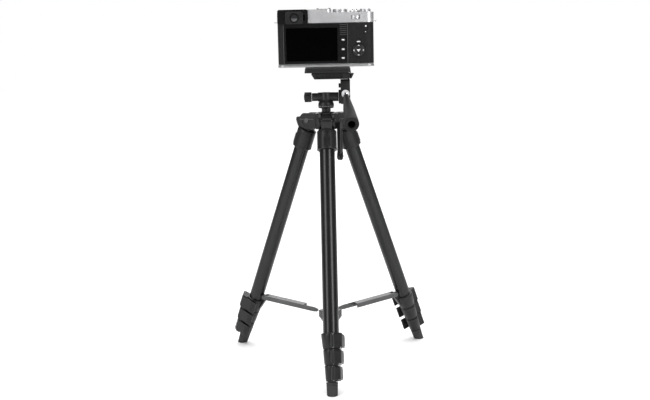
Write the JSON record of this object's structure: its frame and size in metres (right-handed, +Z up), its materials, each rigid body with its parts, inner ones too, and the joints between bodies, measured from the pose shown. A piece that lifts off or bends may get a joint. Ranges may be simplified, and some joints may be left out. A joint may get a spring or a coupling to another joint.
{
  "type": "camera on tripod",
  "caption": "Compact camera with rear monitor on a folding aluminium tripod with telescopic legs, centre column, spreader and three-way pan head.",
  "frame": {"origin": "floor level, centre of the bounding box; the feet stand on z = 0", "axes": "+Z up, +Y where the lens points, +X to the right of someone behind the camera"},
  "size_m": [0.2858, 0.2526, 0.4845],
  "materials": {
    "anodised_tube": "black anodised satin",
    "black_plastic": "moulded, fine grain",
    "chrome": "polished",
    "dark_metal": "dark grey satin",
    "leatherette": "grained leatherette",
    "lens_glass": "coated glass",
    "rubber": "matte",
    "screen_glass": "black glass",
    "silver_alloy": "satin silver"
  },
  "bodies": {
    "shoulder": {"shoulder": "black_plastic"},
    "column": {"column": "anodised_tube"},
    "crank": {"crank": "black_plastic"},
    "column_lock_knob": {"column_lock_knob": "black_plastic"},
    "spreader_hub": {"spreader_hub": "dark_metal"},
    "leg_upper_front": {"leg_socket_front": "black_plastic", "upper_section_front": "anodised_tube"},
    "leg_middle_front": {"middle_section_front": "anodised_tube"},
    "leg_lower_front": {"lower_section_front": "anodised_tube"},
    "leg_foot_front": {"foot_tube_front": "anodised_tube", "rubber_foot_front": "rubber"},
    "strut_front": {"strut_front": "dark_metal"},
    "upper_lever_front": {"upper_lever_front": "black_plastic"},
    "middle_lever_front": {"middle_lever_front": "black_plastic"},
    "lower_lever_front": {"lower_lever_front": "black_plastic"},
    "leg_upper_right": {"leg_socket_right": "black_plastic", "upper_section_right": "anodised_tube"},
    "leg_middle_right": {"middle_section_right": "anodised_tube"},
    "leg_lower_right": {"lower_section_right": "anodised_tube"},
    "leg_foot_right": {"foot_tube_right": "anodised_tube", "rubber_foot_right": "rubber"},
    "strut_right": {"strut_right": "dark_metal"},
    "upper_lever_right": {"upper_lever_right": "black_plastic"},
    "middle_lever_right": {"middle_lever_right": "black_plastic"},
    "lower_lever_right": {"lower_lever_right": "black_plastic"},
    "leg_upper_left": {"leg_socket_left": "black_plastic", "upper_section_left": "anodised_tube"},
    "leg_middle_left": {"middle_section_left": "anodised_tube"},
    "leg_lower_left": {"lower_section_left": "anodised_tube"},
    "leg_foot_left": {"foot_tube_left": "anodised_tube", "rubber_foot_left": "rubber"},
    "strut_left": {"strut_left": "dark_metal"},
    "upper_lever_left": {"upper_lever_left": "black_plastic"},
    "middle_lever_left": {"middle_lever_left": "black_plastic"},
    "lower_lever_left": {"lower_lever_left": "black_plastic"},
    "pan_body": {"pan_body": "black_plastic"},
    "tilt_lock_knob": {"tilt_lock_knob": "black_plastic"},
    "tilt_arm": {"tilt_arm": "black_plastic"},
    "pan_handle": {"pan_handle": "black_plastic"},
    "platform": {"platform": "black_plastic"},
    "plate_lever": {"plate_lever": "black_plastic"},
    "camera": {"quick_release_plate": "black_plastic", "camera_bottom_plate": "silver_alloy", "camera_casing": "leatherette", "camera_top_plate": "silver_alloy", "viewfinder_housing": "black_plastic", "monitor": "screen_glass", "hot_shoe": "dark_metal", "lens_barrel": "silver_alloy", "lens_glass": "lens_glass"},
    "menu_button_upper": {"menu_button_upper": "black_plastic"},
    "menu_button_middle": {"menu_button_middle": "black_plastic"},
    "menu_button_lower": {"menu_button_lower": "black_plastic"},
    "drive_button": {"drive_button": "black_plastic"},
    "control_pad": {"control_pad": "black_plastic"},
    "shutter_button": {"shutter_button": "chrome"},
    "shutter_speed_dial": {"shutter_speed_dial": "silver_alloy"},
    "exposure_dial": {"exposure_dial": "silver_alloy"},
    "power_collar": {"power_collar": "silver_alloy"},
    "aperture_ring": {"aperture_ring": "silver_alloy"}
  },
  "joints": [
    {"name": "leg_fold_front", "type": "hinge", "parent": "shoulder", "child": "leg_upper_front", "pos_m": [0.0009, 0.01229, 0.33467], "axis": [1, 0, 0], "range_deg": [0, 20.8]},
    {"name": "middle_slide_front", "type": "slide", "parent": "leg_upper_front", "child": "leg_middle_front", "axis": [0, -0.3551, -0.9348], "range_m": [0, 0.2]},
    {"name": "lower_slide_front", "type": "slide", "parent": "leg_middle_front", "child": "leg_lower_front", "axis": [0, -0.3551, -0.9348], "range_m": [0, 0.21]},
    {"name": "foot_slide_front", "type": "slide", "parent": "leg_lower_front", "child": "leg_foot_front", "axis": [0, -0.3551, -0.9348], "range_m": [0, 0.225]},
    {"name": "upper_lever_turn_front", "type": "hinge", "parent": "leg_upper_front", "child": "upper_lever_front", "pos_m": [0.0027, -0.10808, 0.06905], "axis": [0, -0.3551, -0.9348], "range_deg": [0, 110]},
    {"name": "middle_lever_turn_front", "type": "hinge", "parent": "leg_middle_front", "child": "middle_lever_front", "pos_m": [0.0027, -0.11389, 0.04981], "axis": [0, -0.3551, -0.9348], "range_deg": [0, 110]},
    {"name": "lower_lever_turn_front", "type": "hinge", "parent": "leg_lower_front", "child": "lower_lever_front", "pos_m": [0.0027, -0.11975, 0.03043], "axis": [0, -0.3551, -0.9348], "range_deg": [0, 110]},
    {"name": "strut_turn_front", "type": "hinge", "parent": "leg_upper_front", "child": "strut_front", "pos_m": [0.0009, -0.07063, 0.07413], "axis": [1, 0, 0], "range_deg": [0, 75.55]},
    {"name": "leg_fold_right", "type": "hinge", "parent": "shoulder", "child": "leg_upper_right", "pos_m": [0.02331, 0.0511, 0.33467], "axis": [-0.5, 0.866, 0], "range_deg": [0, 20.85]},
    {"name": "middle_slide_right", "type": "slide", "parent": "leg_upper_right", "child": "leg_middle_right", "axis": [0.3075, 0.1776, -0.9348], "range_m": [0, 0.2]},
    {"name": "lower_slide_right", "type": "slide", "parent": "leg_middle_right", "child": "leg_lower_right", "axis": [0.3075, 0.1776, -0.9348], "range_m": [0, 0.21]},
    {"name": "foot_slide_right", "type": "slide", "parent": "leg_lower_right", "child": "leg_foot_right", "axis": [0.3075, 0.1776, -0.9348], "range_m": [0, 0.225]},
    {"name": "upper_lever_turn_right", "type": "hinge", "parent": "leg_upper_right", "child": "upper_lever_right", "pos_m": [0.12665, 0.11284, 0.06905], "axis": [0.3075, 0.1776, -0.9348], "range_deg": [0, 110]},
    {"name": "middle_lever_turn_right", "type": "hinge", "parent": "leg_middle_right", "child": "middle_lever_right", "pos_m": [0.13168, 0.11575, 0.04981], "axis": [0.3075, 0.1776, -0.9348], "range_deg": [0, 110]},
    {"name": "lower_lever_turn_right", "type": "hinge", "parent": "leg_lower_right", "child": "lower_lever_right", "pos_m": [0.13676, 0.11868, 0.03043], "axis": [0.3075, 0.1776, -0.9348], "range_deg": [0, 110]},
    {"name": "strut_turn_right", "type": "hinge", "parent": "leg_upper_right", "child": "strut_right", "pos_m": [0.09512, 0.09256, 0.07413], "axis": [-0.5, 0.866, 0], "range_deg": [0, 75.55]},
    {"name": "leg_fold_left", "type": "hinge", "parent": "shoulder", "child": "leg_upper_left", "pos_m": [-0.02151, 0.0511, 0.33467], "axis": [-0.5, -0.866, 0], "range_deg": [0, 20.85]},
    {"name": "middle_slide_left", "type": "slide", "parent": "leg_upper_left", "child": "leg_middle_left", "axis": [-0.3075, 0.1776, -0.9348], "range_m": [0, 0.2]},
    {"name": "lower_slide_left", "type": "slide", "parent": "leg_middle_left", "child": "leg_lower_left", "axis": [-0.3075, 0.1776, -0.9348], "range_m": [0, 0.21]},
    {"name": "foot_slide_left", "type": "slide", "parent": "leg_lower_left", "child": "leg_foot_left", "axis": [-0.3075, 0.1776, -0.9348], "range_m": [0, 0.225]},
    {"name": "upper_lever_turn_left", "type": "hinge", "parent": "leg_upper_left", "child": "upper_lever_left", "pos_m": [-0.12665, 0.10972, 0.06905], "axis": [-0.3075, 0.1776, -0.9348], "range_deg": [0, 110]},
    {"name": "middle_lever_turn_left", "type": "hinge", "parent": "leg_middle_left", "child": "middle_lever_left", "pos_m": [-0.13168, 0.11263, 0.04981], "axis": [-0.3075, 0.1776, -0.9348], "range_deg": [0, 110]},
    {"name": "lower_lever_turn_left", "type": "hinge", "parent": "leg_lower_left", "child": "lower_lever_left", "pos_m": [-0.13676, 0.11556, 0.03043], "axis": [-0.3075, 0.1776, -0.9348], "range_deg": [0, 110]},
    {"name": "strut_turn_left", "type": "hinge", "parent": "leg_upper_left", "child": "strut_left", "pos_m": [-0.09332, 0.09256, 0.07413], "axis": [-0.5, -0.866, 0], "range_deg": [0, 75.55]},
    {"name": "spreader_rise", "type": "slide", "parent": "shoulder", "child": "spreader_hub", "axis": [0, 0, 1], "range_m": [0, 0.08457]},
    {"name": "column_lift", "type": "slide", "parent": "shoulder", "child": "column", "axis": [0, 0, 1], "range_m": [0, 0.11]},
    {"name": "crank_unfold", "type": "hinge", "parent": "shoulder", "child": "crank", "pos_m": [0.01865, 0.02791, 0.33], "axis": [-0.5, -0.866, 0], "range_deg": [0, 85]},
    {"name": "column_lock_turn", "type": "hinge", "parent": "shoulder", "child": "column_lock_knob", "pos_m": [0.0009, 0.05916, 0.3345], "axis": [0, 1, 0], "range_deg": [0, 270]},
    {"name": "pan", "type": "hinge", "parent": "column", "child": "pan_body", "pos_m": [0.0009, 0.03816, 0.3665], "axis": [0, 0, 1], "continuous": true},
    {"name": "tilt_lock_turn", "type": "hinge", "parent": "pan_body", "child": "tilt_lock_knob", "pos_m": [-0.0234, 0.03816, 0.3665], "axis": [-1, 0, 0], "range_deg": [0, 270]},
    {"name": "tilt", "type": "hinge", "parent": "pan_body", "child": "tilt_arm", "pos_m": [0.0198, 0.03816, 0.3665], "axis": [1, 0, 0], "range_deg": [-80, 12]},
    {"name": "handle_twist", "type": "hinge", "parent": "tilt_arm", "child": "pan_handle", "pos_m": [0.0274, 0.02566, 0.3705], "axis": [0.0351, -0.9577, -0.2857], "range_deg": [0, 270]},
    {"name": "portrait_flip", "type": "hinge", "parent": "tilt_arm", "child": "platform", "pos_m": [0.0322, 0.03816, 0.388], "axis": [0, 1, 0], "range_deg": [0, 90]},
    {"name": "plate_lever_turn", "type": "hinge", "parent": "platform", "child": "plate_lever", "pos_m": [0.0357, 0.05116, 0.3945], "axis": [0, 0, 1], "range_deg": [0, 60]},
    {"name": "plate_release", "type": "slide", "parent": "platform", "child": "camera", "axis": [0, 0, 1], "range_m": [0, 0.015]},
    {"name": "menu_press_upper", "type": "slide", "parent": "camera", "child": "menu_button_upper", "axis": [0, 1, 0], "range_m": [0, 0.0008], "stiffness_N_per_m": 300, "springref_m": -0.001},
    {"name": "menu_press_middle", "type": "slide", "parent": "camera", "child": "menu_button_middle", "axis": [0, 1, 0], "range_m": [0, 0.0008], "stiffness_N_per_m": 300, "springref_m": -0.001},
    {"name": "menu_press_lower", "type": "slide", "parent": "camera", "child": "menu_button_lower", "axis": [0, 1, 0], "range_m": [0, 0.0008], "stiffness_N_per_m": 300, "springref_m": -0.001},
    {"name": "drive_press", "type": "slide", "parent": "camera", "child": "drive_button", "axis": [0, 1, 0], "range_m": [0, 0.0008], "stiffness_N_per_m": 300, "springref_m": -0.001},
    {"name": "control_pad_press", "type": "slide", "parent": "camera", "child": "control_pad", "axis": [0, 1, 0], "range_m": [0, 0.0006], "stiffness_N_per_m": 300, "springref_m": -0.001},
    {"name": "shutter_press", "type": "slide", "parent": "camera", "child": "shutter_button", "axis": [0, 0, -1], "range_m": [0, 0.0008], "stiffness_N_per_m": 300, "springref_m": -0.001},
    {"name": "shutter_speed_turn", "type": "hinge", "parent": "camera", "child": "shutter_speed_dial", "pos_m": [0.0222, 0.04016, 0.48], "axis": [0, 0, 1], "continuous": true},
    {"name": "exposure_turn", "type": "hinge", "parent": "camera", "child": "exposure_dial", "pos_m": [0.0554, 0.03216, 0.48], "axis": [0, 0, 1], "range_deg": [-90, 90]},
    {"name": "power_turn", "type": "hinge", "parent": "camera", "child": "power_collar", "pos_m": [0.0419, 0.04316, 0.48], "axis": [0, 0, 1], "range_deg": [0, 25]},
    {"name": "aperture_turn", "type": "hinge", "parent": "camera", "child": "aperture_ring", "pos_m": [-0.0031, 0.06366, 0.44], "axis": [0, 1, 0], "range_deg": [-40, 40]}
  ],
  "couplings": [
    {"joint": "strut_turn_front", "follows": "leg_fold_front", "ratio": 3.6228},
    {"joint": "leg_fold_right", "follows": "leg_fold_front", "ratio": 1},
    {"joint": "strut_turn_right", "follows": "leg_fold_front", "ratio": 3.6228},
    {"joint": "leg_fold_left", "follows": "leg_fold_front", "ratio": 1},
    {"joint": "strut_turn_left", "follows": "leg_fold_front", "ratio": 3.6228},
    {"joint": "spreader_rise", "follows": "leg_fold_front", "m_per_rad": 0.23212}
  ]
}
